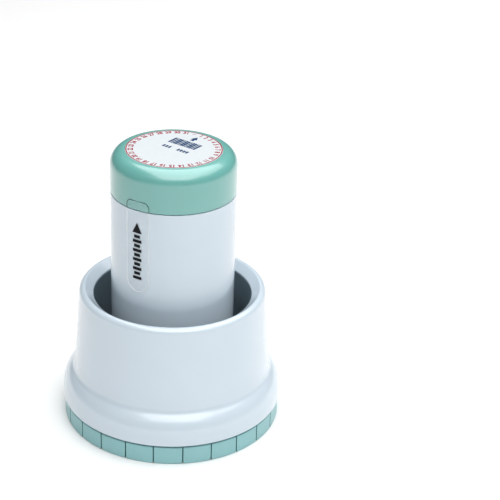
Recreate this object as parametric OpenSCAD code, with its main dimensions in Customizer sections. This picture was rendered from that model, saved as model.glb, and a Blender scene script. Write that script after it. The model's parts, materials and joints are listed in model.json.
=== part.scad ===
// Round pre-inked date stamp: a plain cylindrical handle that is pressed down inside a
// bell-shaped base, with a turning ring at the foot that sets the day.
// Frame: +Z up, origin at the centre of the foot, -Y is the side that carries the clear label.
// The pose drawn is the rest pose, with the handle up.

/* [Base] */
// Largest diameter of the base skirt
base_d = 62; // [60:0.5:66]
// Height at which the skirt ends and the date ring begins
skirt_z = 5.9; // [5.5:0.1:7]
// Height of the rim's top
rim_z = 39.2; // [38:0.1:42]
// Diameter of the mouth, inside the rim
mouth_d = 44.1; // [43:0.1:45]
// Radius of the rim's outer edge
rim_r = 1.5; // [1:0.1:1.8]

/* [Date ring] */
// Outer diameter of the date ring
ring_d = 61.2; // [60:0.1:61.4]
// Open gap between the date ring's wall and the skirt
ring_gap = 0.7; // [0.3:0.1:1]
// Number of grip panels round the ring
panels = 24; // [12:1:36]
// Angle of the first groove
panel_turn = 9.6; // [0:0.1:15]
// Width of a groove between panels
groove_w = 0.36; // [0.2:0.02:0.6]

/* [Handle] */
// Diameter of the handle and its cap
handle_d = 34.2; // [33:0.1:36]
// How far the handle travels down to the paper
travel = 5.5; // [4:0.5:6]
// Height of the joint between handle and cap
cap_z = 68.2; // [66:0.1:70]
// Height of the whole stamp
top_z = 80; // [78:0.5:84]
// Radius of the cap's rounded edge
cap_edge_r = 3.9; // [3:0.1:5]
// Diameter of the index label on top
label_d = 26.2; // [24:0.1:27]

/* [Clear side label] */
// Width of the clear label along the curve of the handle
film_w = 7; // [6:0.1:9]
// Lowest point of the clear label
film_low_z = 44.5; // [42:0.5:50]
// Highest point of the clear label, on the cap
film_top_z = 71; // [70.5:0.1:74]

/* [Print] */
// Diameter of the printed impression
print_d = 44.6; // [44:0.1:45]
// Diameter of the middle, fixed part of the print
message_d = 35.8; // [34:0.1:36]
// Height of the raised characters
relief = 0.6; // [0.4:0.1:1]

/* [Return spring] */
// Wire diameter
wire_d = 1.3; // [1:0.1:1.5]
// Number of open turns
turns = 8; // [6:1:10]

/* [Hidden] */
$fn = 96;

white = [0.85, 0.89, 0.93];
green = [0.53, 0.74, 0.71];
natural = [0.93, 0.93, 0.90];
steel = [0.72, 0.73, 0.75];
black = [0.10, 0.10, 0.11];
slate = [0.20, 0.24, 0.26];
red = [0.75, 0.16, 0.20];
blue = [0.13, 0.30, 0.58];
film = [0.94, 0.96, 0.97];
paper = [0.95, 0.96, 0.99];
eps = 0.02;

// Base skirt: its outer line, with a rounded shoulder over the date ring
base_r = base_d / 2;
mouth_r = mouth_d / 2;
rim_wide = 4;                  // wall and rim together, at the mouth
rim_mid = [mouth_r + rim_wide - rim_r, rim_z - rim_r];
crest_drop = [0.45, 0.2];      // from the crest to the top of the slope that leads into the mouth
skirt_draft = 0.1;             // the lowest band leans in by this much
shoulder_r = 7;
shoulder_turn = 48.6;
band_h = 2.8;                  // the straight band under the shoulder
shoulder_mid = [base_r - skirt_draft - shoulder_r, skirt_z + band_h];
shoulder_end = shoulder_mid + shoulder_r * [cos(shoulder_turn), sin(shoulder_turn)];
fillet_r = 2.7;
fillet_mid = shoulder_end + fillet_r * [cos(shoulder_turn), sin(shoulder_turn)];
wall_lean = 4.23;              // the upper wall leans in by this many degrees
wall_low = fillet_mid - fillet_r * [cos(wall_lean), sin(wall_lean)];
wall_high = rim_mid + rim_r * [cos(wall_lean), sin(wall_lean)];
skirt_t = 1.8;

// Liner: a dark cup that closes the base from inside and guides the stem
liner_in = mouth_r;
liner_out = mouth_r + 1.6;
liner_top_z = rim_z - 2.4;     // the rim's inner lip covers this edge
liner_flange_r = 25.5;
liner_flange_t = 1.5;
deck_z = 18.2;
deck_t = 2.2;
hub_r = 8.8;
hub_low_z = 16;
hub_top_z = 30;
bush_r = 7.2;
seat_r = 29.1;                 // the bearing ring sits in this bore
seat_z = 10.2;

// Date ring
ring_r = ring_d / 2;
ring_top_z = skirt_z - ring_gap;
ring_t = 1.6;
ring_floor = 1.8;
sleeve_in = 24.6;
sleeve_out = 26.4;
sleeve_top_z = 13;
bearing_low_z = 8.6;
retainer_z = seat_z + 0.1;
retainer_h = 1.2;
retainer_in = 25.9;
retainer_out = 27.5;
key_count = 4;
key_w = 4;
key_deep = 0.6;
key_gap = 0.1;
shoulder_out = 27.6;
shoulder_top_z = 7.4;

// Handle
handle_r = handle_d / 2;
handle_in = handle_r - 2;
handle_low_z = deck_z + deck_t + travel + 2.5;
plate_z = 60;
plate_t = 2.5;
neck_r = handle_r - 1.2;
neck_in = neck_r - 2.3;
neck_top_z = cap_z + 4.6;
seal_z = cap_z + 2.4;
cap_gap = 0.2;
cap_in = neck_r + 0.1;
cap_roof_z = top_z - 2.4;
label_t = 0.3;
label_gap = 0.03;

// Stem and print block
stem_r = 5.4;
stem_bore = 2.6;
spigot_r = 4.2;
spigot_h = 6;
stem_flange_r = 14;
stem_flange_z = 13.1;
stem_flange_t = 1.8;
nut_r = 7;                     // to the nut's corners
nut_h = 2.8;
washer_t = 0.6;
rib_w = 2;
rib_r = 6.3;
rib_top_z = 45;
bumper_t = 1;
die_face_z = travel;           // the characters stand this far above the paper at rest
die_z = die_face_z + relief;
block_z = die_z + 1.2;
block_r = 16.4;
block_flange_z = 11.2;
block_flange_r = 21;
pad_r = 15;
pad_top_z = block_z + 2;
screw_pcd_r = 11.5;
screw_r = 1.2;
clip_z = 8.2;
clip_h = 0.7;

// Day carrier and its die
carrier_r = 24.45;
carrier_top_z = 11.1;
carrier_bore = block_r + 0.1;
trough_in = 18.4;
trough_out = 22.5;
trough_roof_z = 9.6;
day_die_top_z = 7.9;
line_w = 0.3;                  // the printed circle round the numbers

// Month and year inserts, middle and size in plan
month_at = [-4.6, 0.3];
month_size = [6.4, 4];
year_at = [4.3, 0.3];
year_size = [8, 4];
insert_gap = 0.12;

film_t = 0.12;
film_corner = 1.6;

// A ring of square section: inner and outer radius, bottom and top
module band(r_in, r_out, z0, z1) {
    translate([0, 0, z0]) difference() {
        cylinder(r = r_out, h = z1 - z0);
        translate([0, 0, -1]) cylinder(r = r_in, h = z1 - z0 + 2);
    }
}

module disc(r, z0, z1) {
    translate([0, 0, z0]) cylinder(r = r, h = z1 - z0);
}

module slab(at, size, z0, z1) {
    translate([at[0] - size[0] / 2, at[1] - size[1] / 2, z0]) cube([size[0], size[1], z1 - z0]);
}

// Everything inside the skirt's outer line, as a half section
module skirt_line() {
    polygon([[0, skirt_z], [base_r, skirt_z], [base_r - skirt_draft, shoulder_mid[1]],
        shoulder_mid, shoulder_end, [26, wall_low[1]], [0, wall_low[1]]]);
    intersection() {
        translate(shoulder_mid) circle(r = shoulder_r);
        translate(shoulder_mid) square([shoulder_r, shoulder_r]);
    }
    difference() {
        polygon([shoulder_mid, shoulder_end, fillet_mid, wall_low, [24, wall_low[1]]]);
        translate(fillet_mid) circle(r = fillet_r);
    }
    polygon([[0, wall_low[1] - eps], wall_low, wall_high, rim_mid, [rim_mid[0], rim_z],
        [rim_mid[0] - crest_drop[0], rim_z - crest_drop[1]], [mouth_r, liner_top_z], [0, liner_top_z]]);
    intersection() {
        translate(rim_mid) circle(r = rim_r);
        translate(rim_mid) translate([0, -rim_r]) square(2 * rim_r);
    }
}

// Hollow of the skirt, stepped for the bearing ring and the liner, and open at the mouth
module skirt_hollow() {
    polygon([[0, skirt_z - 1], [seat_r, skirt_z - 1], [seat_r, seat_z], [seat_r - 1.2, seat_z],
        [28.1, 11.6], [26.2, 14.6], [wall_low[0] - skirt_t, 16.5], [liner_flange_r, deck_z],
        [liner_flange_r, deck_z + liner_flange_t], [liner_flange_r - 0.6, deck_z + 2 * liner_flange_t],
        [liner_out + 0.4, 33], [liner_out, 34], [liner_out, liner_top_z], [0, liner_top_z]]);
}

module base_skirt() {
    color(white) rotate_extrude() difference() {
        skirt_line();
        skirt_hollow();
    }
}

module well_liner() {
    color(slate) rotate_extrude() {
        translate([liner_in, deck_z]) square([liner_out - liner_in, liner_top_z - deck_z]);
        translate([bush_r, deck_z]) square([liner_out - bush_r - eps, deck_t]);
        translate([bush_r, deck_z]) square([liner_flange_r - bush_r, liner_flange_t]);
        translate([bush_r, hub_low_z]) square([hub_r - bush_r, hub_top_z - hub_low_z]);
    }
}

module guide_bush() {
    color(natural) difference() {
        union() {
            band(stem_r + 0.05, bush_r, hub_low_z, hub_top_z);
            band(stem_r + 0.05, hub_r, hub_top_z, hub_top_z + 1);
        }
        slab([0, 0], [2 * rib_r + 0.3, rib_w + 0.2], hub_low_z - 1, hub_top_z + 2);
    }
}

module bearing_ring() {
    color(natural) band(sleeve_out + 0.08, seat_r, bearing_low_z, seat_z);
}

// Slots or keys that couple the ring to the day carrier
module keys(r_in, r_out, w, z0, z1) {
    for (i = [0 : key_count - 1]) rotate([0, 0, i * 360 / key_count + 45])
        translate([r_in, -w / 2, z0]) cube([r_out - r_in, w, z1 - z0]);
}

module date_ring() {
    slot_r = sleeve_in + key_deep;
    color(green) difference() {
        union() {
            band(ring_r - ring_t, ring_r, 0, ring_top_z);
            band(sleeve_in, ring_r - ring_t + eps, 0, ring_floor);
            band(sleeve_in, sleeve_out, 0, sleeve_top_z);
            band(sleeve_in, shoulder_out, 0, shoulder_top_z);
        }
        band(retainer_in, sleeve_out + 1, retainer_z, retainer_z + retainer_h);
        keys(sleeve_in - 1, slot_r, key_w, -1, sleeve_top_z + 1);
        for (i = [0 : panels - 1]) rotate([0, 0, panel_turn + i * 360 / panels]) {
            translate([ring_r - 0.45, -groove_w / 2, -1]) cube([2, groove_w, ring_top_z + 2]);
            translate([ring_r - 0.8, -groove_w, -1]) cube([2, 2 * groove_w, 1.5]);
        }
    }
}

module ring_retainer() {
    mouth = 3;
    color(steel) difference() {
        band(retainer_in, retainer_out, retainer_z, retainer_z + retainer_h);
        translate([20, -mouth / 2, retainer_z - 1]) cube([10, mouth, 4]);
    }
}

// Rubber ring in the bearing's corner: it holds the date ring where it is set
module friction_ring() {
    color(black) band(sleeve_out, shoulder_out, shoulder_top_z, bearing_low_z - 0.05);
}

module handle_tube() {
    mid = (handle_in + handle_r) / 2;
    foot_r = (handle_r - handle_in) / 2;
    color(white) difference() {
        union() {
            rotate_extrude() translate([mid, handle_low_z + foot_r]) circle(r = foot_r);
            band(handle_in, handle_r, handle_low_z + foot_r, cap_z);
            band(neck_in, neck_r, plate_z, neck_top_z);
            disc(handle_r - 1, plate_z, plate_z + plate_t);
            band(neck_in, handle_r - 0.5, plate_z, cap_z - 1);
        }
        disc(spigot_r + 0.05, plate_z - 1, plate_z + plate_t + 1);
        band(neck_r - 1.1, neck_r + 1, seal_z - 0.65, seal_z + 0.65);
    }
}

module cap_seal() {
    color(black) rotate_extrude() translate([neck_r - 0.52, seal_z]) circle(r = 0.57);
}

module stem() {
    color(natural) difference() {
        union() {
            disc(stem_flange_r, stem_flange_z, stem_flange_z + stem_flange_t);
            disc(stem_r, stem_flange_z, plate_z);
            disc(spigot_r, plate_z - 1, plate_z + spigot_h);
            intersection() {
                slab([0, 0], [4 * rib_r, rib_w], stem_flange_z + 1, rib_top_z);
                disc(rib_r, stem_flange_z + 1, rib_top_z);
            }
        }
        disc(stem_bore, stem_flange_z - 1, plate_z + spigot_h + 1);
        screw_places() disc(screw_r, stem_flange_z - 1, stem_flange_z + 3);
    }
}

module stem_washer() {
    color(steel) band(spigot_r, nut_r, plate_z + plate_t, plate_z + plate_t + washer_t);
}

module stem_nut() {
    z = plate_z + plate_t + washer_t;
    color(steel) difference() {
        translate([0, 0, z]) cylinder(r = nut_r, h = nut_h, $fn = 6);
        disc(spigot_r, z - 1, z + 4);
    }
}

module ink_plug() {
    z = plate_z + spigot_h;
    color(black) union() {
        disc(stem_bore - 0.02, z - 3, z + eps);
        disc(3.8, z, z + 1.4);
    }
}

module ink_wick() {
    color(blue) disc(stem_bore - 0.1, pad_top_z, plate_z + 2);
}

// The spring: a round wire swept along its coils, with closed ends
spring_r = 10.2;
spring_low_z = deck_z + deck_t + wire_d / 2;
spring_top_z = plate_z - 1 - wire_d / 2;
spring_sides = 8;
spring_steps = 24;
end_turns = 1;
all_turns = turns + 2 * end_turns;
end_rise = wire_d * 1.02;
function rise(t) = t < end_turns ? end_rise * t
    : t > all_turns - end_turns ? spring_top_z - spring_low_z - end_rise * (all_turns - t)
    : end_rise * end_turns + (t - end_turns) / turns
        * (spring_top_z - spring_low_z - 2 * end_rise * end_turns);

module return_spring() {
    rings = all_turns * spring_steps;
    points = [for (i = [0 : rings]) let (t = i / spring_steps, a = 360 * t)
        for (j = [0 : spring_sides - 1]) let (b = 360 * j / spring_sides,
            r = spring_r + wire_d / 2 * cos(b))
            [r * cos(a), r * sin(a), spring_low_z + rise(t) + wire_d / 2 * sin(b)]];
    sides = [for (i = [0 : rings - 1], j = [0 : spring_sides - 1])
        let (k = (j + 1) % spring_sides, p = i * spring_sides, q = p + spring_sides)
            [p + j, p + k, q + k, q + j]];
    first = [for (j = [spring_sides - 1 : -1 : 0]) j];
    last = [for (j = [0 : spring_sides - 1]) rings * spring_sides + j];
    color(steel) polyhedron(points,
        concat(sides, [first, last]), convexity = 10);
}

module spring_seat() {
    color(natural) band(stem_r + 0.1, 13, plate_z - 1, plate_z);
}

module screw_places() {
    for (a = [30, 150, 270]) rotate([0, 0, a]) translate([screw_pcd_r, 0, 0]) children();
}

module block_screws() {
    head_z = stem_flange_z + stem_flange_t;
    color(steel) screw_places() difference() {
        union() {
            disc(screw_r, pad_top_z + 0.6, head_z);
            disc(2.3, head_z, head_z + 1.4);
        }
        slab([0, 0], [2.8, 0.5], head_z + 0.7, head_z + 2);
        slab([0, 0], [0.5, 2.8], head_z + 0.7, head_z + 2);
    }
}

module message_block() {
    color(natural) difference() {
        union() {
            disc(block_r, block_z, block_flange_z + eps);
            disc(block_flange_r, block_flange_z, stem_flange_z);
        }
        disc(pad_r, block_z - 1, pad_top_z);
        disc(stem_bore, block_z, stem_flange_z + 1);
        band(block_r - 0.5, block_r + 2, clip_z, clip_z + clip_h);
        screw_places() disc(screw_r, pad_top_z + 0.6, stem_flange_z + 1);
    }
}

module insert_holes(z0, z1) {
    grow = [2 * insert_gap, 2 * insert_gap];
    slab(month_at, month_size + grow, z0, z1);
    slab(year_at, year_size + grow, z0, z1);
}

module message_ink_pad() {
    color(blue) difference() {
        disc(pad_r - 0.1, block_z, pad_top_z);
        insert_holes(block_z - 1, pad_top_z + 1);
    }
}

// Arrow that points at the chosen day
module arrow_shape() {
    polygon([[0, 17.5], [1.7, 14.2], [0.6, 14.2], [1.2, 12.8], [-1.2, 12.8], [-0.6, 14.2], [-1.7, 14.2]]);
}

// Plain upright bars that stand for the message: wide and narrow ones in turn
message_low = 4.8;
message_high = 11.2;
message_w = 15.6;
message_marks = 12;
module message_shapes() {
    pitch = message_w / message_marks;
    for (i = [0 : message_marks - 1]) {
        bar = i % 3 == 1 ? 0.35 * pitch : 0.7 * pitch;
        translate([-message_w / 2 + (i + 0.5) * pitch - bar / 2, message_low])
            square([bar, message_high - message_low]);
    }
}

module message_die() {
    color(blue) union() {
        difference() {
            disc(message_d / 2, die_z, block_z);
            insert_holes(die_z - 1, block_z + 1);
        }
        translate([0, 0, die_face_z]) linear_extrude(relief + eps) {
            arrow_shape();
            message_shapes();
        }
    }
}

module carrier_clip() {
    mouth = 4;
    color(steel) difference() {
        band(block_r - 0.5, block_r + 1, clip_z, clip_z + clip_h);
        translate([10, -mouth / 2, clip_z - 1]) cube([12, mouth, 3]);
    }
}

module bumper_washer() {
    z = stem_flange_z + stem_flange_t;
    color(black) difference() {
        band(stem_r, 9, z, z + bumper_t);
        slab([0, 0], [2 * rib_r + 0.1, rib_w + 0.04], z - 1, z + 2);
    }
}

module day_carrier() {
    color(natural) union() {
        difference() {
            disc(carrier_r, block_z - 0.7, carrier_top_z);
            disc(carrier_bore, 0, carrier_top_z + 1);
            disc(block_r + 1.2, 0, clip_z + clip_h + 0.2);
            disc(trough_in, 0, block_z + 0.2);
            band(trough_in, trough_out, 0, trough_roof_z);
        }
        keys(carrier_r - 0.5, sleeve_in + key_deep - key_gap, key_w - 2 * key_gap,
            block_z - 0.7, carrier_top_z);
    }
}

module day_ink_pad() {
    color(red) band(trough_in, trough_out, day_die_top_z, trough_roof_z);
}

module day_die() {
    color(red) union() {
        band(trough_in + 0.05, print_d / 2, die_z, day_die_top_z);
        band(print_d / 2 - line_w, print_d / 2, die_face_z, die_z + eps);
    }
}

// A block with its own raised marks, one for each letter or figure
module insert(at, size, marks, mark_w) {
    pitch = (size[0] - 1.2) / marks;
    color(blue) union() {
        slab(at, size, die_z, pad_top_z - 0.1);
        for (i = [0 : marks - 1])
            slab(at + [(i - (marks - 1) / 2) * pitch, 0], [mark_w, 2.5], die_face_z, die_z + eps);
    }
}

module month_insert() {
    insert(month_at, month_size, 3, 1.3);
}

module year_insert() {
    insert(year_at, year_size, 4, 1.3);
}

module cap() {
    mid = [handle_r - cap_edge_r, top_z - cap_edge_r];
    color(green) rotate_extrude() difference() {
        union() {
            translate([0, cap_z + cap_gap]) square([handle_r, mid[1] - cap_z - cap_gap]);
            translate([0, mid[1] - eps]) square([mid[0], cap_edge_r + eps]);
            intersection() {
                translate(mid) circle(r = cap_edge_r);
                translate([mid[0] - eps, mid[1] - eps]) square([cap_edge_r + 1, cap_edge_r + 1]);
            }
        }
        translate([-1, cap_z - 1]) square([cap_in + 1, cap_roof_z - cap_z + 1]);
        translate([-1, top_z - label_t]) square([label_d / 2 + 1, 1]);
    }
}

module index_label() {
    color(paper) disc(label_d / 2 - label_gap, top_z - label_t, top_z);
}

// The clear label: an outline wrapped on the handle, round at the foot, with small corners on top
module film_outline() {
    half = film_w / 2;
    translate([0, film_low_z + half]) circle(r = half);
    translate([-half, film_low_z + half]) square([film_w, film_top_z - film_low_z - half - film_corner]);
    for (s = [-1, 1]) translate([s * (half - film_corner), film_top_z - film_corner]) circle(r = film_corner);
    translate([film_corner - half, film_top_z - 2 * film_corner])
        square([film_w - 2 * film_corner, 2 * film_corner]);
}

module film_between(z0, z1) {
    color(film) intersection() {
        band(handle_r, handle_r + film_t, z0, z1);
        translate([0, -5, 0]) rotate([90, 0, 0]) linear_extrude(20) film_outline();
    }
}

module side_label() {
    film_between(film_low_z - 1, cap_z);
}

module label_tab() {
    film_between(cap_z + cap_gap, film_top_z + 1);
}

base_skirt();
well_liner();
guide_bush();
bearing_ring();
date_ring();
ring_retainer();
friction_ring();
handle_tube();
stem();
stem_nut();
stem_washer();
return_spring();
spring_seat();
message_block();
block_screws();
message_ink_pad();
message_die();
carrier_clip();
bumper_washer();
ink_wick();
ink_plug();
cap_seal();
side_label();
day_carrier();
day_ink_pad();
day_die();
month_insert();
year_insert();
cap();
index_label();
label_tab();
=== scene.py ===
import json
import math

import bmesh
import bpy
from mathutils import Matrix, Vector


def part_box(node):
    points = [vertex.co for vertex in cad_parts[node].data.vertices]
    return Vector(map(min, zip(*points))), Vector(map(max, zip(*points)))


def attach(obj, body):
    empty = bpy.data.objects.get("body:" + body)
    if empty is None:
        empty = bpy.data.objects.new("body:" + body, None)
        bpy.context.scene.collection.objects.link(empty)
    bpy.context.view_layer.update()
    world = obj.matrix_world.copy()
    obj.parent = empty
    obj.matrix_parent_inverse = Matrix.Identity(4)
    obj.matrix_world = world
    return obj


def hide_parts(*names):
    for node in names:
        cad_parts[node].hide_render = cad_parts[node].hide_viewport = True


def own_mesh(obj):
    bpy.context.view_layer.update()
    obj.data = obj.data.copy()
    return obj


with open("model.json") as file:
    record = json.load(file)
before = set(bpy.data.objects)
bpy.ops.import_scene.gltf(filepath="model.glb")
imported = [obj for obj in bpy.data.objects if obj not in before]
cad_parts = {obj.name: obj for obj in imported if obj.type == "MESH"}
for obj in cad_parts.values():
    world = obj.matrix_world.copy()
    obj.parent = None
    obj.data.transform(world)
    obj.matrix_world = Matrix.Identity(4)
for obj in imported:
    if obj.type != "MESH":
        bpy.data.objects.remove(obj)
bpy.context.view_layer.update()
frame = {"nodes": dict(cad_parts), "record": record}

MM = 0.001


# ---------------------------------------------------------------- places taken from the frame

def span(node):
    """Lowest and highest corner of a CAD node, in millimetres."""
    low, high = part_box(node)
    return low / MM, high / MM


def outer_radius(node):
    low, high = span(node)
    return (high.x - low.x) / 2


skirt_low, skirt_high = span("base_skirt")
liner_low, liner_high = span("well_liner")
_, ring_high = span("date_ring")
tube_low, tube_high = span("handle_tube")
cap_low, cap_high = span("cap")
label_low, _ = span("index_label")
film_low, film_high = span("side_label")
tab_low, tab_high = span("label_tab")
spring_low, spring_high = span("return_spring")
die_low, _ = span("day_die")

SKIRT_R = outer_radius("base_skirt")
RING_R = outer_radius("date_ring")
HANDLE_R = outer_radius("handle_tube")
LABEL_R = outer_radius("index_label")
SKIRT_Z = skirt_low.z
RIM_Z = skirt_high.z
WELL_Z = liner_high.z
TOP_Z = cap_high.z
JOINT_Z = cap_low.z

RING_Z = SKIRT_Z - 0.7     # top of the date ring's outer wall, under an open gap
MOUTH_R = 22.05            # the base's mouth, and the inside of its liner
NECK_R = HANDLE_R - 1.2    # the handle's neck, inside the cap
CAM_AZIMUTH = 33.6         # the camera stands this far round from the clear label
LABEL_TURN = 5.4           # the index label is stuck on this far clockwise of square


# ---------------------------------------------------------------- outlines

def arc(centre, radius, start, end, steps=10):
    """Points of an arc in the half plane (r, z), angles in degrees from +r towards +z."""
    turns = [math.radians(start + (end - start) * i / steps) for i in range(steps + 1)]
    return [(centre[0] + radius * math.cos(t), centre[1] + radius * math.sin(t)) for t in turns]


def rounded(corners):
    """A closed outline from corners (r, z, fillet radius)."""
    points = []
    count = len(corners)
    for i, (x, y, fillet) in enumerate(corners):
        here = Vector((x, y))
        before = Vector(corners[i - 1][:2]) - here
        after = Vector(corners[(i + 1) % count][:2]) - here
        if fillet <= 0:
            points.append((x, y))
            continue
        u, v = before.normalized(), after.normalized()
        half = u.angle(v) / 2
        centre = here + (u + v).normalized() * (fillet / math.sin(half))
        first = here + u * (fillet / math.tan(half)) - centre
        last = here + v * (fillet / math.tan(half)) - centre
        sweep = first.angle_signed(last)
        steps = max(2, math.ceil(abs(sweep) / math.radians(15)))
        for k in range(steps + 1):
            t = -sweep * k / steps
            turned = Vector((first.x * math.cos(t) - first.y * math.sin(t),
                             first.x * math.sin(t) + first.y * math.cos(t)))
            points.append(tuple(centre + turned))
    return points


# ---------------------------------------------------------------- meshes

def finish_mesh(name, bm, sharp=35):
    """Turns a bmesh into an object with smooth faces and sharp edges above an angle."""
    bmesh.ops.recalc_face_normals(bm, faces=bm.faces)
    mesh = bpy.data.meshes.new(name)
    bm.to_mesh(mesh)
    bm.free()
    mesh.shade_smooth()
    mesh.set_sharp_from_angle(angle=math.radians(sharp))
    obj = bpy.data.objects.new(name, mesh)
    bpy.context.scene.collection.objects.link(obj)
    return obj


def even_angles(count):
    return [2 * math.pi * i / count for i in range(count)]


def lathe(name, outline, angles=None, radius_at=None):
    """Sweeps a closed outline of (r, z) round the axis. radius_at(r, z, angle) may change a radius."""
    angles = angles or even_angles(192)
    bm = bmesh.new()
    rings = []
    for r, z in outline:
        if r < 1e-6:
            rings.append([bm.verts.new((0, 0, z * MM))])
            continue
        ring = []
        for a in angles:
            here = radius_at(r, z, a) if radius_at else r
            ring.append(bm.verts.new((here * MM * math.cos(a), here * MM * math.sin(a), z * MM)))
        rings.append(ring)
    count = len(angles)
    for i, low in enumerate(rings):
        high = rings[(i + 1) % len(rings)]
        if len(low) == 1 and len(high) == 1:
            continue
        for k in range(count):
            n = (k + 1) % count
            corners = [low[k % len(low)], low[n % len(low)], high[n % len(high)], high[k % len(high)]]
            bm.faces.new(list(dict.fromkeys(corners)))
    obj = finish_mesh(name, bm)
    weighted = obj.modifiers.new("weighted", "WEIGHTED_NORMAL")
    weighted.keep_sharp = True
    return obj


def prism(bm, points, low, high, move=Matrix.Identity(4)):
    """Adds an upright prism over flat points in millimetres."""
    base = [bm.verts.new(move @ Vector((x, y, low)) * MM) for x, y in points]
    top = [bm.verts.new(move @ Vector((x, y, high)) * MM) for x, y in points]
    bm.faces.new(base[::-1])
    bm.faces.new(top)
    for i in range(len(points)):
        n = (i + 1) % len(points)
        bm.faces.new([base[i], base[n], top[n], top[i]])


def box_points(x, y, w, h):
    """Corners of an upright rectangle round (x, y)."""
    left, right, bottom, top = x - w / 2, x + w / 2, y - h / 2, y + h / 2
    return [(left, bottom), (right, bottom), (right, top), (left, top)]


FIGURE_BOLD = 0.035        # thickens the strokes, as a share of the type's size
FIGURE_SQUEEZE = 0.86      # width against the typeface's own


def add_number(bm, text, height, move, low, high):
    """Adds a figure as a thin solid: its foot faces the centre, and move puts it on the dial."""
    curve = bpy.data.curves.new("figure", "FONT")
    curve.body = text
    curve.align_x = "CENTER"
    curve.resolution_u = 3
    curve.size = 1
    curve.offset = FIGURE_BOLD
    obj = bpy.data.objects.new("figure", curve)
    bpy.context.scene.collection.objects.link(obj)
    bpy.context.view_layer.update()
    flat = bpy.data.meshes.new_from_object(obj.evaluated_get(bpy.context.evaluated_depsgraph_get()))
    bpy.data.objects.remove(obj)
    bpy.data.curves.remove(curve)
    tall = max(v.co.y for v in flat.vertices)
    part = bmesh.new()
    part.from_mesh(flat)
    bpy.data.meshes.remove(flat)
    bmesh.ops.remove_doubles(part, verts=part.verts, dist=1e-5)
    bmesh.ops.dissolve_limit(part, angle_limit=0.01, verts=part.verts, edges=part.edges)
    bmesh.ops.triangulate(part, faces=part.faces)
    scale = height / tall
    for v in part.verts:
        v.co = Vector((v.co.x * scale * FIGURE_SQUEEZE, v.co.y * scale, low))
    made = bmesh.ops.extrude_face_region(part, geom=part.faces[:])
    for v in made["geom"]:
        if isinstance(v, bmesh.types.BMVert):
            v.co.z = high
    for v in part.verts:
        v.co = move @ v.co * MM
    solid = bpy.data.meshes.new("figure")
    bmesh.ops.recalc_face_normals(part, faces=part.faces)
    part.to_mesh(solid)
    part.free()
    bm.from_mesh(solid)
    bpy.data.meshes.remove(solid)


# ---------------------------------------------------------------- the print, shared by label and dies

PRINT_R = 22.3             # the printed circle; the index label carries the same print, smaller
FIGURE_R = 0.85            # foot of the figures, as a share of the circle's radius
FIGURE_H = 0.11            # a share of the circle's radius too, like the lengths down to BLOCK_PITCH
MESSAGE_LOW = 0.216        # the row of bars
MESSAGE_HIGH = 0.505
MESSAGE_HALF = 0.353
ARROW_HALF = ((0, 0.79), (0.075, 0.65), (0.028, 0.65), (0.05, 0.575))  # from its tip to its foot
BLOCK_W = 0.052            # the blocks that stand for month and year
BLOCK_H = 0.1
BLOCK_PITCH = 0.075
MESSAGE_BARS = 12
FIRST_STEP = 8.8           # degrees between the figures 1 to 9
TEN_AT = 82.6
NEXT_STEP = 12.13          # degrees between the figures 10 to 31
DASH_AT = 349.3


def dial_angle(day):
    return (day - 1) * FIRST_STEP if day < 10 else TEN_AT + (day - 10) * NEXT_STEP


def dial_place(degrees, radius):
    """Turns clockwise from +Y, and goes out to radius."""
    return Matrix.Rotation(-math.radians(degrees), 4, "Z") @ Matrix.Translation((0, radius, 0))


def add_day_figures(bm, scale, low, high, turn):
    """The days 1 to 31 and a dash, round a circle of radius scale."""
    for day in range(1, 32):
        move = dial_place(dial_angle(day) + turn, FIGURE_R * scale)
        add_number(bm, str(day), FIGURE_H * scale, move, low, high)
    dash = box_points(0, 0.05 * scale, 0.1 * scale, 0.014 * scale)
    prism(bm, dash, low, high, dial_place(DASH_AT + turn, FIGURE_R * scale))


def add_message(bm, scale, low, high, turn):
    """A row of plain bars, an arrow over it, and two short rows of blocks under it."""
    move = Matrix.Rotation(-math.radians(turn), 4, "Z")
    bottom, top, half = MESSAGE_LOW * scale, MESSAGE_HIGH * scale, MESSAGE_HALF * scale
    pitch = 2 * half / MESSAGE_BARS
    for i in range(MESSAGE_BARS):
        wide = 0.55 if i % 3 == 1 else 0.84
        x = -half + (i + 0.5) * pitch
        prism(bm, box_points(x, (bottom + top) / 2, wide * pitch, top - bottom), low, high, move)
    right = [(x * scale, y * scale) for x, y in ARROW_HALF]
    left = [(-x, y) for x, y in right[:0:-1]]
    prism(bm, right + left, low, high, move)
    for start, count in ((-0.31, 3), (0.07, 4)):
        for k in range(count):
            x = (start + 0.032 + k * BLOCK_PITCH) * scale
            block = box_points(x, 0.012 * scale, BLOCK_W * scale, BLOCK_H * scale)
            prism(bm, block, low, high, move)


# ---------------------------------------------------------------- materials

def new_material(name):
    """A material with its nodes, links, main shader, and the place on the object as a socket."""
    mat = bpy.data.materials.new(name)
    mat.use_nodes = True
    nodes, links = mat.node_tree.nodes, mat.node_tree.links
    shader = nodes["Principled BSDF"]
    where = nodes.new("ShaderNodeTexCoord")
    return mat, nodes, links, shader, where.outputs["Object"]


def noise(nodes, links, where, size_mm, detail=3.0, rough=0.55, stretch=(1, 1, 1)):
    """Noise whose largest blotches are about size_mm across."""
    mapping = nodes.new("ShaderNodeMapping")
    mapping.inputs["Scale"].default_value = stretch
    links.new(where, mapping.inputs["Vector"])
    tex = nodes.new("ShaderNodeTexNoise")
    tex.inputs["Scale"].default_value = 1 / (size_mm * MM)
    tex.inputs["Detail"].default_value = detail
    tex.inputs["Roughness"].default_value = rough
    links.new(mapping.outputs["Vector"], tex.inputs["Vector"])
    return tex.outputs["Fac"]


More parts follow.
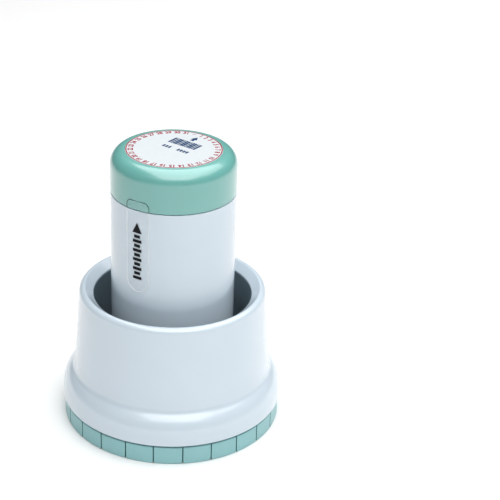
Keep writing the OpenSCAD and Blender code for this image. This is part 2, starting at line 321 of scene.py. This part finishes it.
def mapped(nodes, links, value, low, high):
    """Spreads the middle of a noise's range over low to high."""
    node = nodes.new("ShaderNodeMapRange")
    node.inputs["From Min"].default_value, node.inputs["From Max"].default_value = 0.3, 0.7
    node.inputs["To Min"].default_value, node.inputs["To Max"].default_value = low, high
    links.new(value, node.inputs["Value"])
    return node.outputs["Result"]


def mixed(nodes, links, factor, first, second):
    """Blends two colours."""
    node = nodes.new("ShaderNodeMix")
    node.data_type = "RGBA"
    links.new(factor, node.inputs[0])
    for socket, value in ((node.inputs[6], first), (node.inputs[7], second)):
        if isinstance(value, tuple):
            socket.default_value = (*value, 1)
        else:
            links.new(value, socket)
    return node.outputs[2]


def bump(nodes, links, shader, height, depth_mm, before=None):
    """Roughens the shader's surface, on top of an earlier bump where one is given."""
    node = nodes.new("ShaderNodeBump")
    node.inputs["Distance"].default_value = depth_mm * MM
    node.inputs["Strength"].default_value = 1.0
    links.new(height, node.inputs["Height"])
    if before is not None:
        links.new(before, node.inputs["Normal"])
    links.new(node.outputs["Normal"], shader.inputs["Normal"])
    return node.outputs["Normal"]


def tinted(colour, factor):
    """A colour made darker or lighter."""
    return tuple(min(1.0, c * factor) for c in colour)


def stained(nodes, links, shader, pattern, colour, dark, light):
    """Lets the base colour wander between a darker and a lighter shade of itself."""
    share = mapped(nodes, links, pattern, 0, 1)
    shade = mixed(nodes, links, share, tinted(colour, dark), tinted(colour, light))
    links.new(shade, shader.inputs["Base Color"])


def moulded_plastic(name, colour, rough, spread=0.03, grain_mm=0.25, grain_depth=0.002, coat=0.0):
    """Injection-moulded plastic: faint flow clouds, a fine skin, and a little uneven gloss."""
    mat, nodes, links, shader, where = new_material(name)
    stained(nodes, links, shader, noise(nodes, links, where, 12, 2), colour, 1 - spread, 1)
    links.new(mapped(nodes, links, noise(nodes, links, where, 4, 5), rough - 0.03, rough + 0.04),
              shader.inputs["Roughness"])
    ripple = bump(nodes, links, shader, noise(nodes, links, where, 14, 0), 0.003)
    bump(nodes, links, shader, noise(nodes, links, where, grain_mm, 3), grain_depth, ripple)
    shader.inputs["IOR"].default_value = 1.49
    shader.inputs["Specular IOR Level"].default_value = 0.5 + 0.4 * coat
    shader.inputs["Coat Weight"].default_value = coat
    shader.inputs["Coat Roughness"].default_value = 0.08
    return mat


def turned_steel(name):
    """Plated steel with fine marks that run round the axis."""
    mat, nodes, links, shader, where = new_material(name)
    marks = noise(nodes, links, where, 0.5, 4, 0.6, (1, 1, 12))
    shade = mixed(nodes, links, marks, (0.50, 0.51, 0.53), (0.66, 0.67, 0.69))
    links.new(shade, shader.inputs["Base Color"])
    links.new(mapped(nodes, links, marks, 0.2, 0.42), shader.inputs["Roughness"])
    bump(nodes, links, shader, marks, 0.003)
    shader.inputs["Metallic"].default_value = 1.0
    return mat


def soft_rubber(name, colour, rough=0.6):
    """Rubber with a fine porous skin; the dies carry a film of ink in it."""
    mat, nodes, links, shader, where = new_material(name)
    stain = noise(nodes, links, where, 1.6, 5)
    stained(nodes, links, shader, stain, colour, 0.7, 1.25)
    links.new(mapped(nodes, links, stain, rough - 0.2, rough + 0.1), shader.inputs["Roughness"])
    bump(nodes, links, shader, noise(nodes, links, where, 0.12, 3), 0.006)
    return mat


def felt(name, colour):
    """Ink-soaked felt: short tangled fibres."""
    mat, nodes, links, shader, where = new_material(name)
    fibres = noise(nodes, links, where, 0.35, 8, 0.75)
    stained(nodes, links, shader, fibres, colour, 0.5, 1.3)
    links.new(mapped(nodes, links, fibres, 0.7, 0.95), shader.inputs["Roughness"])
    bump(nodes, links, shader, fibres, 0.05)
    return mat


def coated_paper(name, colour):
    """Printed label stock under a satin film."""
    mat, nodes, links, shader, where = new_material(name)
    fibres = noise(nodes, links, where, 1.2, 6, 0.7)
    stained(nodes, links, shader, fibres, colour, 0.965, 1)
    links.new(mapped(nodes, links, fibres, 0.34, 0.44), shader.inputs["Roughness"])
    bump(nodes, links, shader, noise(nodes, links, where, 0.4, 4), 0.003)
    return mat


def printing_ink(name, colour):
    """Thin printed ink with slightly uneven cover."""
    mat, nodes, links, shader, where = new_material(name)
    cover = noise(nodes, links, where, 0.5, 4)
    stained(nodes, links, shader, cover, colour, 1, 1.35)
    links.new(mapped(nodes, links, cover, 0.35, 0.5), shader.inputs["Roughness"])
    shader.inputs["Specular IOR Level"].default_value = 0.12
    return mat


def clear_film(name, alpha, colour=(0.80, 0.85, 0.87)):
    """Clear self-adhesive film with its own gloss and faint ripples; alpha is how much of it is seen."""
    mat, nodes, links, shader, where = new_material(name)
    ripple = noise(nodes, links, where, 3, 2)
    shade = mixed(nodes, links, ripple, colour, tinted(colour, 1.08))
    links.new(shade, shader.inputs["Base Color"])
    links.new(mapped(nodes, links, ripple, 0.1, 0.2), shader.inputs["Roughness"])
    bump(nodes, links, shader, ripple, 0.01)
    shader.inputs["Alpha"].default_value = alpha
    return mat


WHITE = moulded_plastic("white_plastic", (0.60, 0.695, 0.77), 0.32, 0.02, coat=0.75)
GREEN = moulded_plastic("green_plastic", (0.15, 0.43, 0.39), 0.32, 0.03, coat=0.9)
RING_GREEN = moulded_plastic("ring_green", (0.285, 0.55, 0.565), 0.36, 0.04,
                             grain_mm=0.18, grain_depth=0.004)
SLATE = moulded_plastic("slate_plastic", (0.165, 0.22, 0.255), 0.5, 0.1, grain_mm=0.3, grain_depth=0.01)
NATURAL = moulded_plastic("natural_plastic", (0.807, 0.799, 0.730), 0.42, 0.04)
STEEL = turned_steel("plated_steel")
BLACK_RUBBER = soft_rubber("black_rubber", (0.022, 0.022, 0.025), 0.65)
RED_RUBBER = soft_rubber("red_die_rubber", (0.38, 0.03, 0.05), 0.5)
BLUE_RUBBER = soft_rubber("blue_die_rubber", (0.02, 0.07, 0.28), 0.5)
RED_FELT = felt("red_felt", (0.32, 0.02, 0.035))
BLUE_FELT = felt("blue_felt", (0.015, 0.05, 0.24))
PAPER = coated_paper("label_paper", (0.61, 0.65, 0.675))
RED_INK = printing_ink("red_ink", (0.24, 0.005, 0.016))
BLUE_INK = printing_ink("blue_ink", (0.004, 0.035, 0.10))
BLACK_INK = printing_ink("black_ink", (0.003, 0.004, 0.006))
FILM = clear_film("clear_film", 0.08)
TAB_FILM = clear_film("tab_film", 0.03)
# the film's cut edge is a real bead, but its near-white colour is a painted highlight, the bright line of
# light along the edge
FILM_EDGE_HIGHLIGHT = clear_film("film_edge_painted_highlight", 0.9, (0.86, 0.92, 0.95))
# painted shade: the dark green bead round the tab stands for the shadow line along the film's edge on the
# cap
TAB_EDGE_SHADE = clear_film("tab_edge_painted_shade", 0.6, (0.04, 0.13, 0.12))
# painted shade: this darker green goes on the groove walls in place of the shade that falls in them
PAINTED_GROOVE_SHADE = moulded_plastic("painted_groove_shade", (0.06, 0.20, 0.20), 0.6, 0.1)

SLOT_MATERIAL = {
    "white_plastic": WHITE, "green_plastic": GREEN, "ring_plastic": RING_GREEN, "slate_plastic": SLATE,
    "natural_plastic": NATURAL, "steel": STEEL, "black_rubber": BLACK_RUBBER, "red_rubber": RED_RUBBER,
    "blue_rubber": BLUE_RUBBER, "red_felt": RED_FELT, "blue_felt": BLUE_FELT, "label_paper": PAPER,
    "clear_film": FILM,
}


def dress(obj, material):
    obj.data.materials.clear()
    obj.data.materials.append(material)


for part in frame["record"]["subparts"]:
    cad_node = frame["nodes"][part["node"]]
    dress(cad_node, SLOT_MATERIAL[part["material_slot"]])
    cad_node.data.shade_smooth()
    cad_node.data.set_sharp_from_angle(angle=math.radians(30))


def place(obj, body, slot, material, *stands_for):
    """Gives a new piece its material and its body, and hides the CAD nodes that it stands for; slot is not
    used.
    """
    dress(obj, material)
    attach(obj, body)
    if stands_for:
        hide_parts(*stands_for)
    return obj


# ---------------------------------------------------------------- base

BAND_H = 2.8               # the straight band under the shoulder
SHOULDER_R = 7.0
SHOULDER_TURN = 48.6
FILLET_R = 2.7
WALL_LEAN = 4.23
RIM_R = 1.5                # the rim's outer edge
RIM_WIDE = 4.0
CREST_R = 0.6              # the rim's crest, where its slope down to the mouth begins
LINER_OUT = MOUTH_R + 1.6  # outside of the liner's wall
SEAT_R = SKIRT_R - 1.9     # the seat of the bearing ring, inside the skirt's foot
SEAT_Z = 10.2
DECK_Z = 18.2              # the liner's floor
DECK_T = 2.2
DECK_R = 25.5
HUB_IN = 7.2               # the hub round the stem's bearing
HUB_OUT = 8.8
HUB_TOP_Z = 30


def skirt_outline():
    """Outside up from the foot and over the rim, then down the inside past the liner to the seat."""
    shoulder = (SKIRT_R - 0.1 - SHOULDER_R, SKIRT_Z + BAND_H)
    turn = math.radians(SHOULDER_TURN)
    reach = SHOULDER_R + FILLET_R
    fillet = (shoulder[0] + reach * math.cos(turn), shoulder[1] + reach * math.sin(turn))
    rim = (MOUTH_R + RIM_WIDE - RIM_R, RIM_Z - RIM_R)
    edge = 0.15
    outside = (arc((SKIRT_R - edge, SKIRT_Z + edge), edge, -90, 0, 4)
               + arc(shoulder, SHOULDER_R, 2, SHOULDER_TURN, 14)
               + arc(fillet, FILLET_R, 180 + SHOULDER_TURN - 5, 180 + WALL_LEAN, 8)
               + arc(rim, RIM_R, WALL_LEAN, 90, 12)
               + arc((rim[0], RIM_Z - CREST_R), CREST_R, 95, 134, 6)
               + arc((MOUTH_R + 0.5, WELL_Z + 0.22), 0.5, 140, 180, 4))
    mouth = [(MOUTH_R, WELL_Z), (LINER_OUT, WELL_Z)]
    wall = [(LINER_OUT, 34), (MOUTH_R + 2, 33), (24.9, 21.2), (DECK_R, DECK_Z + 1.5)]
    under_shoulder = [(DECK_R, 16.5), (26.2, 14.6), (28.1, 11.6)]
    seat = [(SEAT_R - 1.2, SEAT_Z), (SEAT_R, SEAT_Z), (SEAT_R, SKIRT_Z)]
    return outside + mouth + wall + under_shoulder + seat


def build_base():
    shell = lathe("skirt_shell", skirt_outline(), even_angles(256))
    place(shell, "base", "white_plastic", WHITE, "base_skirt")
    floor_z, ledge_z = DECK_Z + DECK_T, DECK_Z + 1.5
    cup = rounded([
        (HUB_IN, liner_low.z, 0.2), (HUB_OUT, liner_low.z, 0.4), (HUB_OUT, DECK_Z, 0.4),
        (DECK_R, DECK_Z, 0.3), (DECK_R, ledge_z, 0.3), (LINER_OUT, ledge_z, 0.3),
        (LINER_OUT, WELL_Z, 0.15), (MOUTH_R, WELL_Z, 0.3), (MOUTH_R, floor_z, 1.6),
        (HUB_OUT, floor_z, 0.8), (HUB_OUT, HUB_TOP_Z, 0.3), (HUB_IN, HUB_TOP_Z, 0.2)])
    place(lathe("well_cup", cup), "base", "slate_plastic", SLATE, "well_liner")


# ---------------------------------------------------------------- date ring

PANELS = 24
GROOVE_PHASE = 9.6         # degrees from +X to a groove
GROOVE_W = 0.26
GROOVE_DEEP = 0.5
GROOVE_EDGE = 0.1          # radius along a groove's edges
NOTCH_H = 0.5              # the wider, deeper notch at a groove's foot
KEYS = 4                   # slots inside the sleeve for the day carrier's keys
KEY_HALF = 2.0
KEY_R = 25.2
FIRST_KEY = 45             # degrees from +X
SLEEVE_IN = 24.6
SLEEVE_OUT = 26.4
SLEEVE_STEP = (7.4, 27.6)  # height and radius of the sleeve's thicker foot
SNAP_GROOVE = (25.9, 10.3, 11.5)  # radius and heights of the groove for the retainer
FOOT_T = 1.8


def groove_columns():
    """Angles round the ring, closer together at each groove and key slot."""
    half = GROOVE_W / 2
    near = [half - 0.03, half, half + 0.04, half + 0.08, half + GROOVE_EDGE, GROOVE_W, GROOVE_W + 0.06]
    offsets = sorted([-n / RING_R for n in near] + [0] + [n / RING_R for n in near])
    pitch = 2 * math.pi / PANELS
    fill = [pitch * t for t in (0.08, 0.2, 0.35, 0.5, 0.65, 0.8, 0.92)]
    angles = []
    for i in range(PANELS):
        centre = math.radians(GROOVE_PHASE) + i * pitch
        angles += [centre + a for a in offsets + fill]
    step = KEY_HALF / SLEEVE_IN
    for i in range(KEYS):
        centre = math.radians(FIRST_KEY + i * 360 / KEYS)
        angles += [centre + s * (step + d) for s in (-1, 1) for d in (-0.0004, 0.0004)]
    return sorted(a % (2 * math.pi) for a in angles)


def groove_depth(angle, z):
    """How far a groove or its rounded edge cuts into the ring's wall."""
    pitch = 2 * math.pi / PANELS
    off = (angle - math.radians(GROOVE_PHASE)) % pitch
    off = min(off, pitch - off) * RING_R
    half = GROOVE_W / 2
    if z < NOTCH_H and off <= GROOVE_W + 0.001:
        return GROOVE_DEEP * 1.5
    if off <= half + 0.001:
        return GROOVE_DEEP
    rise = (half + GROOVE_EDGE - off) / GROOVE_EDGE
    return 0.0 if rise <= 0 else GROOVE_EDGE * (1 - math.sqrt(max(0.0, 1 - rise * rise)))


def ring_radius(r, z, angle):
    """The ring's radius with the grooves outside and the key slots inside."""
    if r > RING_R - 0.5:
        return min(r, RING_R - groove_depth(angle, z))
    if r < SLEEVE_IN + 0.5:
        off = (angle - math.radians(FIRST_KEY)) % (2 * math.pi / KEYS)
        off = min(off, 2 * math.pi / KEYS - off)
        if off < KEY_HALF / SLEEVE_IN:
            return KEY_R
    return r


def ring_outline():
    wall_in = RING_R - 1.6
    step_z, step_r = SLEEVE_STEP
    snap_r, snap_low, snap_high = SNAP_GROOVE
    return rounded([
        (SLEEVE_IN, 0, 0.15), (RING_R, 0, 0.3), (RING_R, NOTCH_H, 0), (RING_R, NOTCH_H + 0.08, 0),
        (RING_R, RING_Z, 0.25), (wall_in, RING_Z, 0.2), (wall_in, FOOT_T, 0.3), (step_r, FOOT_T, 0.3),
        (step_r, step_z, 0.15), (SLEEVE_OUT, step_z, 0), (SLEEVE_OUT, snap_low, 0),
        (snap_r, snap_low, 0), (snap_r, snap_high, 0), (SLEEVE_OUT, snap_high, 0),
        (SLEEVE_OUT, ring_high.z, 0.2), (SLEEVE_IN, ring_high.z, 0.2)])


def shade_grooves(ring):
    """Gives the floors and sides of the grooves a darker green: painted shade that stands for the shade in
    them.
    """
    ring.data.materials.append(PAINTED_GROOVE_SHADE)
    for face in ring.data.polygons:
        middle = face.center / MM
        inside_groove = RING_R - 1 < math.hypot(middle.x, middle.y) < RING_R - 0.2
        upright = abs(face.normal.z) < 0.5
        if inside_groove and upright and 0.05 < middle.z < RING_Z - 0.1:
            face.material_index = 1


def build_ring():
    ring = lathe("panel_ring", ring_outline(), groove_columns(), ring_radius)
    place(ring, "date_ring", "ring_plastic", RING_GREEN, "date_ring")
    shade_grooves(ring)


# ---------------------------------------------------------------- handle and cap

TUBE_T = 2                 # the handle's wall
NECK_T = 2.3
FLOOR_Z = 60               # the handle's inner floor, to which the stem is bolted
FLOOR_T = 2.5
STEM_HOLE_R = 4.25
SEAL_HALF = 0.65           # half the height of the groove for the cap's rubber ring
SEAL_DEEP = 1.1
CAP_EDGE = 3.9             # the cap's rounded upper edge
CAP_LIP = 0.22             # the rounded edge at the cap's foot
CAP_T = 2.4
RECESS = 0.3               # the label's seat in the cap


def build_handle():
    joint = JOINT_Z - 0.2
    seal_low, seal_high = joint + 2.4 - SEAL_HALF, joint + 2.4 + SEAL_HALF
    groove_r, floor_top = NECK_R - SEAL_DEEP, FLOOR_Z + FLOOR_T
    tube_in, neck_in = HANDLE_R - TUBE_T, NECK_R - NECK_T
    outline = rounded([
        (tube_in, tube_low.z, 0.8), (HANDLE_R, tube_low.z, 0.8), (HANDLE_R, joint, 0.22),
        (NECK_R, joint, 0.1), (NECK_R, seal_low, 0.1), (groove_r, seal_low, 0.15),
        (groove_r, seal_high, 0.15), (NECK_R, seal_high, 0.1), (NECK_R, tube_high.z, 0.35),
        (neck_in, tube_high.z, 0.35), (neck_in, floor_top, 0.6), (STEM_HOLE_R, floor_top, 0.15),
        (STEM_HOLE_R, FLOOR_Z, 0.15), (tube_in, FLOOR_Z, 0.6)])
    shell = lathe("handle_shell", outline, even_angles(256))
    place(shell, "handle", "white_plastic", WHITE, "handle_tube")


def build_cap():
    inner, bore = NECK_R + 0.1, LABEL_R + 0.05
    roof, seat = TOP_Z - CAP_T, TOP_Z - RECESS
    outline = [(inner, JOINT_Z)] + arc((HANDLE_R - CAP_LIP, JOINT_Z + CAP_LIP), CAP_LIP, -90, 0, 4)
    outline += arc((HANDLE_R - CAP_EDGE, TOP_Z - CAP_EDGE), CAP_EDGE, 0, 90, 20)
    outline += [(bore + 0.03, TOP_Z), (bore, TOP_Z - 0.04), (bore, seat), (0, seat), (0, roof)]
    outline += arc((inner - 1, roof - 1), 1, 90, 0, 6)
    shell = lathe("cap_shell", outline, even_angles(256))
    place(shell, "cap", "green_plastic", GREEN, "cap")


PRINT_T = 0.015            # thickness of the printed ink on the label
LINE_W = 0.3               # the printed circle


def build_label():
    edge = 0.08
    outline = [(0, label_low.z), (LABEL_R, label_low.z)]
    outline += arc((LABEL_R - edge, TOP_Z - PRINT_T - edge), edge, 0, 90, 4) + [(0, TOP_Z - PRINT_T)]
    place(lathe("dial_label", outline), "cap", "label_paper", PAPER, "index_label")
    low, high = TOP_Z - PRINT_T - 0.002, TOP_Z
    scale = LABEL_R - 0.12
    line = [(scale - LINE_W, low), (scale, low), (scale, high), (scale - LINE_W, high)]
    place(lathe("dial_circle", line), "cap", "label_paper", RED_INK)
    bm = bmesh.new()
    add_day_figures(bm, scale, low, high, LABEL_TURN)
    place(finish_mesh("dial_figures", bm), "cap", "label_paper", RED_INK)
    bm = bmesh.new()
    add_message(bm, scale, low, high, LABEL_TURN)
    place(finish_mesh("dial_message", bm), "cap", "label_paper", BLUE_INK)


# ---------------------------------------------------------------- clear side label

FILM_T = 0.1
FILM_GAP = 0.01            # between the film and the handle
FILM_BEAD_R = 0.11         # the cut edge
FILM_HALF = (film_high.x - film_low.x) / 2
FILM_CORNER = 1.6


def film_half_width(z):
    """Half the label's width at a height: round at the foot, small corners at the top."""
    foot = film_low.z + FILM_HALF
    head = tab_high.z - FILM_CORNER
    if z < foot:
        return math.sqrt(max(0.0, FILM_HALF ** 2 - (foot - z) ** 2))
    if z > head:
        return FILM_HALF - FILM_CORNER + math.sqrt(max(0.0, FILM_CORNER ** 2 - (z - head) ** 2))
    return FILM_HALF


def on_handle(x, z, lift):
    """A point x round the handle from the label's middle line, lift above its surface."""
    radius = HANDLE_R + lift
    angle = x / HANDLE_R - math.pi / 2
    return Vector((radius * math.cos(angle), radius * math.sin(angle), z)) * MM


def film_heights(low, high, count):
    """Heights from low to high, closer together at both ends."""
    return [low + (high - low) * (1 - math.cos(math.pi * i / count)) / 2 for i in range(count + 1)]


def build_film(name, low, high, body, node, material):
    """A thin closed sheet wrapped on the handle, thinner towards its edge."""
    bm = bmesh.new()
    across = 24
    rows = []
    for z in film_heights(low + 0.02, high - 0.02, 40):
        half = film_half_width(z)
        outer, inner = [], []
        for k in range(across + 1):
            s = math.sin(math.pi / 2 * (2 * k / across - 1))
            gap = half * (1 - abs(s))
            thick = FILM_T * min(1.0, 0.3 + gap / 0.25)
            outer.append(bm.verts.new(on_handle(s * half, z, FILM_GAP + thick)))
            inner.append(bm.verts.new(on_handle(s * half, z, FILM_GAP)))
        rows.append(outer + inner[::-1])
    width = len(rows[0])
    for a, b in zip(rows, rows[1:]):
        for k in range(width):
            n = (k + 1) % width
            bm.faces.new([a[k], a[n], b[n], b[k]])
    bm.faces.new(rows[0][::-1])
    bm.faces.new(rows[-1])
    place(finish_mesh(name, bm, 50), body, "clear_film", material, node)


def build_film_edge(name, path, body, material):
    """The cut edge of the film, a fine bead along its outline; its material is painted light, a painted
    highlight round the clear label and a painted shadow line round the tab.
    """
    curve = bpy.data.curves.new(name, "CURVE")
    curve.dimensions = "3D"
    curve.bevel_depth = FILM_BEAD_R * MM
    curve.bevel_resolution = 2
    curve.use_fill_caps = True
    spline = curve.splines.new("POLY")
    spline.points.add(len(path) - 1)
    for point, (x, z) in zip(spline.points, path):
        point.co = (*on_handle(x, z, 0.04), 1)
    obj = bpy.data.objects.new(name, curve)
    bpy.context.scene.collection.objects.link(obj)
    place(obj, body, "clear_film", material)


MARK_BARS = 10
MARK_PITCH = 1.35
MARK_BAR_H = 0.85
MARK_BAR_W = (2.7, 1.9)    # long and short bars in turn
MARK_HEAD_HALF = 1.5
MARK_HEAD_H = 2.9


def side_mark():
    """A plain mark that reads upward: a run of bars and an arrow head."""
    foot = film_low.z + 4.2
    shapes = [box_points(0, foot + i * MARK_PITCH, MARK_BAR_W[i % 2], MARK_BAR_H) for i in range(MARK_BARS)]
    head = foot + MARK_BARS * MARK_PITCH - 0.3
    shapes.append([(-MARK_HEAD_HALF, head), (MARK_HEAD_HALF, head), (0, head + MARK_HEAD_H)])
    return shapes


def build_side_mark():
    """Cuts each shape into narrow strips, so that it can bend round the handle, and gives it thickness."""
    bm = bmesh.new()
    lift, strips = FILM_GAP + FILM_T, 8
    for shape in side_mark():
        flat = bmesh.new()
        flat.faces.new([flat.verts.new((x, z, 0)) for x, z in shape])
        reach = max(abs(x) for x, _ in shape)
        for k in range(1, strips):
            cut_at = (2 * k / strips - 1) * reach
            geometry = flat.verts[:] + flat.edges[:] + flat.faces[:]
            bmesh.ops.bisect_plane(flat, geom=geometry, plane_co=(cut_at, 0, 0), plane_no=(1, 0, 0))
        solid = bmesh.ops.extrude_face_region(flat, geom=flat.faces[:])
        raised = {v for v in solid["geom"] if isinstance(v, bmesh.types.BMVert)}
        for v in flat.verts:
            v.co = on_handle(v.co.x, v.co.y, lift + (PRINT_T if v in raised else -0.005))
        bmesh.ops.recalc_face_normals(flat, faces=flat.faces)
        mesh = bpy.data.meshes.new("mark")
        flat.to_mesh(mesh)
        flat.free()
        bm.from_mesh(mesh)
        bpy.data.meshes.remove(mesh)
    place(finish_mesh("side_mark", bm), "handle", "clear_film", BLACK_INK)


def build_side_label():
    build_film("clear_label", film_low.z, film_high.z, "handle", "side_label", FILM)
    build_film("clear_label_tab", tab_low.z, tab_high.z, "cap", "label_tab", TAB_FILM)
    foot_z = film_low.z + FILM_HALF
    path = [(FILM_HALF, film_high.z), (FILM_HALF, foot_z)]
    path += arc((0, foot_z), FILM_HALF, 0, -180, 30) + [(-FILM_HALF, film_high.z)]
    # painted highlight: the bead round the clear label is near-white for the light caught along its edge
    build_film_edge("label_edge_highlight", path, "handle", FILM_EDGE_HIGHLIGHT)
    # painted shade: a dark green line for the shadow along the tab's edge
    inner, head = FILM_HALF - FILM_CORNER, tab_high.z - FILM_CORNER
    path = [(FILM_HALF, tab_low.z)] + arc((inner, head), FILM_CORNER, 0, 90, 8)
    path += arc((-inner, head), FILM_CORNER, 90, 180, 8) + [(-FILM_HALF, tab_low.z)]
    build_film_edge("tab_edge_painted_shade", path, "cap", TAB_EDGE_SHADE)
    build_side_mark()


# ---------------------------------------------------------------- inside and underneath

SPRING_WIRE = 1.3
SPRING_TURNS = 10


def build_spring():
    """The return spring as a smooth round wire with closed ends."""
    wire, turns = SPRING_WIRE, SPRING_TURNS
    coil_r = outer_radius("return_spring") - wire / 2
    low, high = spring_low.z + wire / 2, spring_high.z - wire / 2
    end = wire * 1.02
    curve = bpy.data.curves.new("return_coil", "CURVE")
    curve.dimensions = "3D"
    curve.bevel_depth = wire / 2 * MM
    curve.bevel_resolution = 4
    curve.use_fill_caps = True
    steps = turns * 40
    spline = curve.splines.new("POLY")
    spline.points.add(steps)
    for i, point in enumerate(spline.points):
        t = turns * i / steps
        if t < 1:
            z = low + end * t
        elif t > turns - 1:
            z = high - end * (turns - t)
        else:
            z = low + end + (t - 1) / (turns - 2) * (high - low - 2 * end)
        a = 2 * math.pi * t
        point.co = (coil_r * MM * math.cos(a), coil_r * MM * math.sin(a), z * MM, 1)
    obj = bpy.data.objects.new("return_coil", curve)
    bpy.context.scene.collection.objects.link(obj)
    mesh = bpy.data.meshes.new_from_object(obj.evaluated_get(bpy.context.evaluated_depsgraph_get()))
    bpy.data.objects.remove(obj)
    coil = bpy.data.objects.new("return_coil", mesh)
    bpy.context.scene.collection.objects.link(coil)
    mesh.shade_smooth()
    place(coil, "base", "steel", STEEL, "return_spring")
    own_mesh(coil)


RELIEF = 0.62              # the raised figures, from their face to just inside the die


def build_die_figures():
    bm = bmesh.new()
    add_day_figures(bm, PRINT_R, die_low.z, die_low.z + RELIEF, 0)
    place(finish_mesh("day_figures", bm), "day_carrier", "red_rubber", RED_RUBBER)


# ---------------------------------------------------------------- camera, floor and light

CAM_AIM_Z = 45             # height of the point on the axis that the camera goes round
CAM_DISTANCE = 399.6
CAM_ELEVATION = 27.09
CAM_YAW = 1.41             # how far the camera looks past the axis
CAM_ROLL = 1.22
FLOOR_HALF = 6.0           # metres
FLOOR_DROP = 0.00002       # metres; keeps the floor and the foot from sharing a plane


def camera_position():
    """A point on the camera's side of the axis, in metres."""
    side, up = math.radians(CAM_AZIMUTH), math.radians(CAM_ELEVATION)
    away = Vector((math.sin(side) * math.cos(up), -math.cos(side) * math.cos(up), math.sin(up)))
    return (Vector((0, 0, CAM_AIM_Z)) + away * CAM_DISTANCE) * MM


def build_camera():
    turn = math.radians(CAM_AZIMUTH - CAM_YAW)
    down = math.radians(CAM_ELEVATION)
    tilt = math.radians(CAM_ROLL)
    forward = Vector((-math.sin(turn) * math.cos(down), math.cos(turn) * math.cos(down), -math.sin(down)))
    level = Vector((math.cos(turn), math.sin(turn), 0))
    upright = level.cross(forward)
    right = level * math.cos(tilt) + upright * math.sin(tilt)
    up = upright * math.cos(tilt) - level * math.sin(tilt)
    data = bpy.data.cameras.new("camera")
    data.sensor_width = 36
    data.lens = 103.87
    data.shift_x = 0.091
    data.shift_y = 0.0327
    data.clip_start, data.clip_end = 0.01, 50
    obj = bpy.data.objects.new("camera", data)
    pose = Matrix((right, up, -forward)).transposed().to_4x4()
    obj.matrix_world = Matrix.Translation(camera_position()) @ pose
    bpy.context.scene.collection.objects.link(obj)
    bpy.context.scene.camera = obj


def studio_point(right, front, up):
    """A point in the studio as the camera's side sees it: right, in front, and above the floor."""
    a = math.radians(CAM_AZIMUTH)
    x = right * math.cos(a) + front * math.sin(a)
    y = right * math.sin(a) - front * math.cos(a)
    return Vector((x, y, up)) * MM


def overhead_light(name, right, front, height, size, glow):
    """A soft box that faces straight down. Its power grows with its area, so glow sets its brightness."""
    data = bpy.data.lights.new(name, "AREA")
    data.shape = "RECTANGLE"
    data.size, data.size_y = size[0] * MM, size[1] * MM
    data.energy = glow * math.pi * data.size * data.size_y
    obj = bpy.data.objects.new(name, data)
    obj.location = studio_point(right, front, height)
    back = Vector((0, 0, 1))
    side = studio_point(1, 0, 0).normalized()
    up = back.cross(side).normalized()
    turned = Matrix((up.cross(back), up, back)).transposed().to_4x4()
    obj.matrix_world = Matrix.Translation(obj.location) @ turned
    bpy.context.scene.collection.objects.link(obj)


def floor_material():
    """Plain white paper."""
    mat, nodes, links, shader, where = new_material("floor_white")
    fibres = noise(nodes, links, where, 2, 4)
    shade = mixed(nodes, links, fibres, (0.895, 0.895, 0.895), (0.905, 0.905, 0.905))
    links.new(shade, shader.inputs["Base Color"])
    shader.inputs["Roughness"].default_value = 0.9
    return mat


def studio_world():
    """A dim, slightly blue surround that lights the object, and is seen as white."""
    world = bpy.data.worlds.new("studio")
    world.use_nodes = True
    nodes, links = world.node_tree.nodes, world.node_tree.links
    dim = nodes["Background"]
    dim.inputs["Color"].default_value = (0.86, 0.94, 1.0, 1)
    dim.inputs["Strength"].default_value = 0.05
    bright = nodes.new("ShaderNodeBackground")
    bright.inputs["Color"].default_value = (1, 1, 1, 1)
    bright.inputs["Strength"].default_value = 1.05
    path = nodes.new("ShaderNodeLightPath")
    mix = nodes.new("ShaderNodeMixShader")
    links.new(path.outputs["Is Camera Ray"], mix.inputs["Fac"])
    links.new(dim.outputs["Background"], mix.inputs[1])
    links.new(bright.outputs["Background"], mix.inputs[2])
    links.new(mix.outputs["Shader"], nodes["World Output"].inputs["Surface"])
    return world


def build_stage():
    bm = bmesh.new()
    corners = box_points(0, 0, 2 * FLOOR_HALF, 2 * FLOOR_HALF)
    bm.faces.new([bm.verts.new((x, y, -FLOOR_DROP)) for x, y in corners])
    floor = finish_mesh("floor", bm)
    dress(floor, floor_material())
    bpy.context.scene.world = studio_world()
    overhead_light("overhead", 60, -140, 740, (800, 980), 3.1)
    overhead_light("overhead_right", 660, -100, 740, (400, 900), 2.3)
    overhead_light("overhead_front", 100, 620, 740, (900, 540), 2.9)
    overhead_light("overhead_wide", 130, 720, 741, (1680, 740), 0.4)
    bpy.context.scene.view_settings.view_transform = "Standard"


build_base()
build_ring()
build_handle()
build_cap()
build_label()
build_side_label()
build_spring()
build_die_figures()
build_camera()
build_stage()
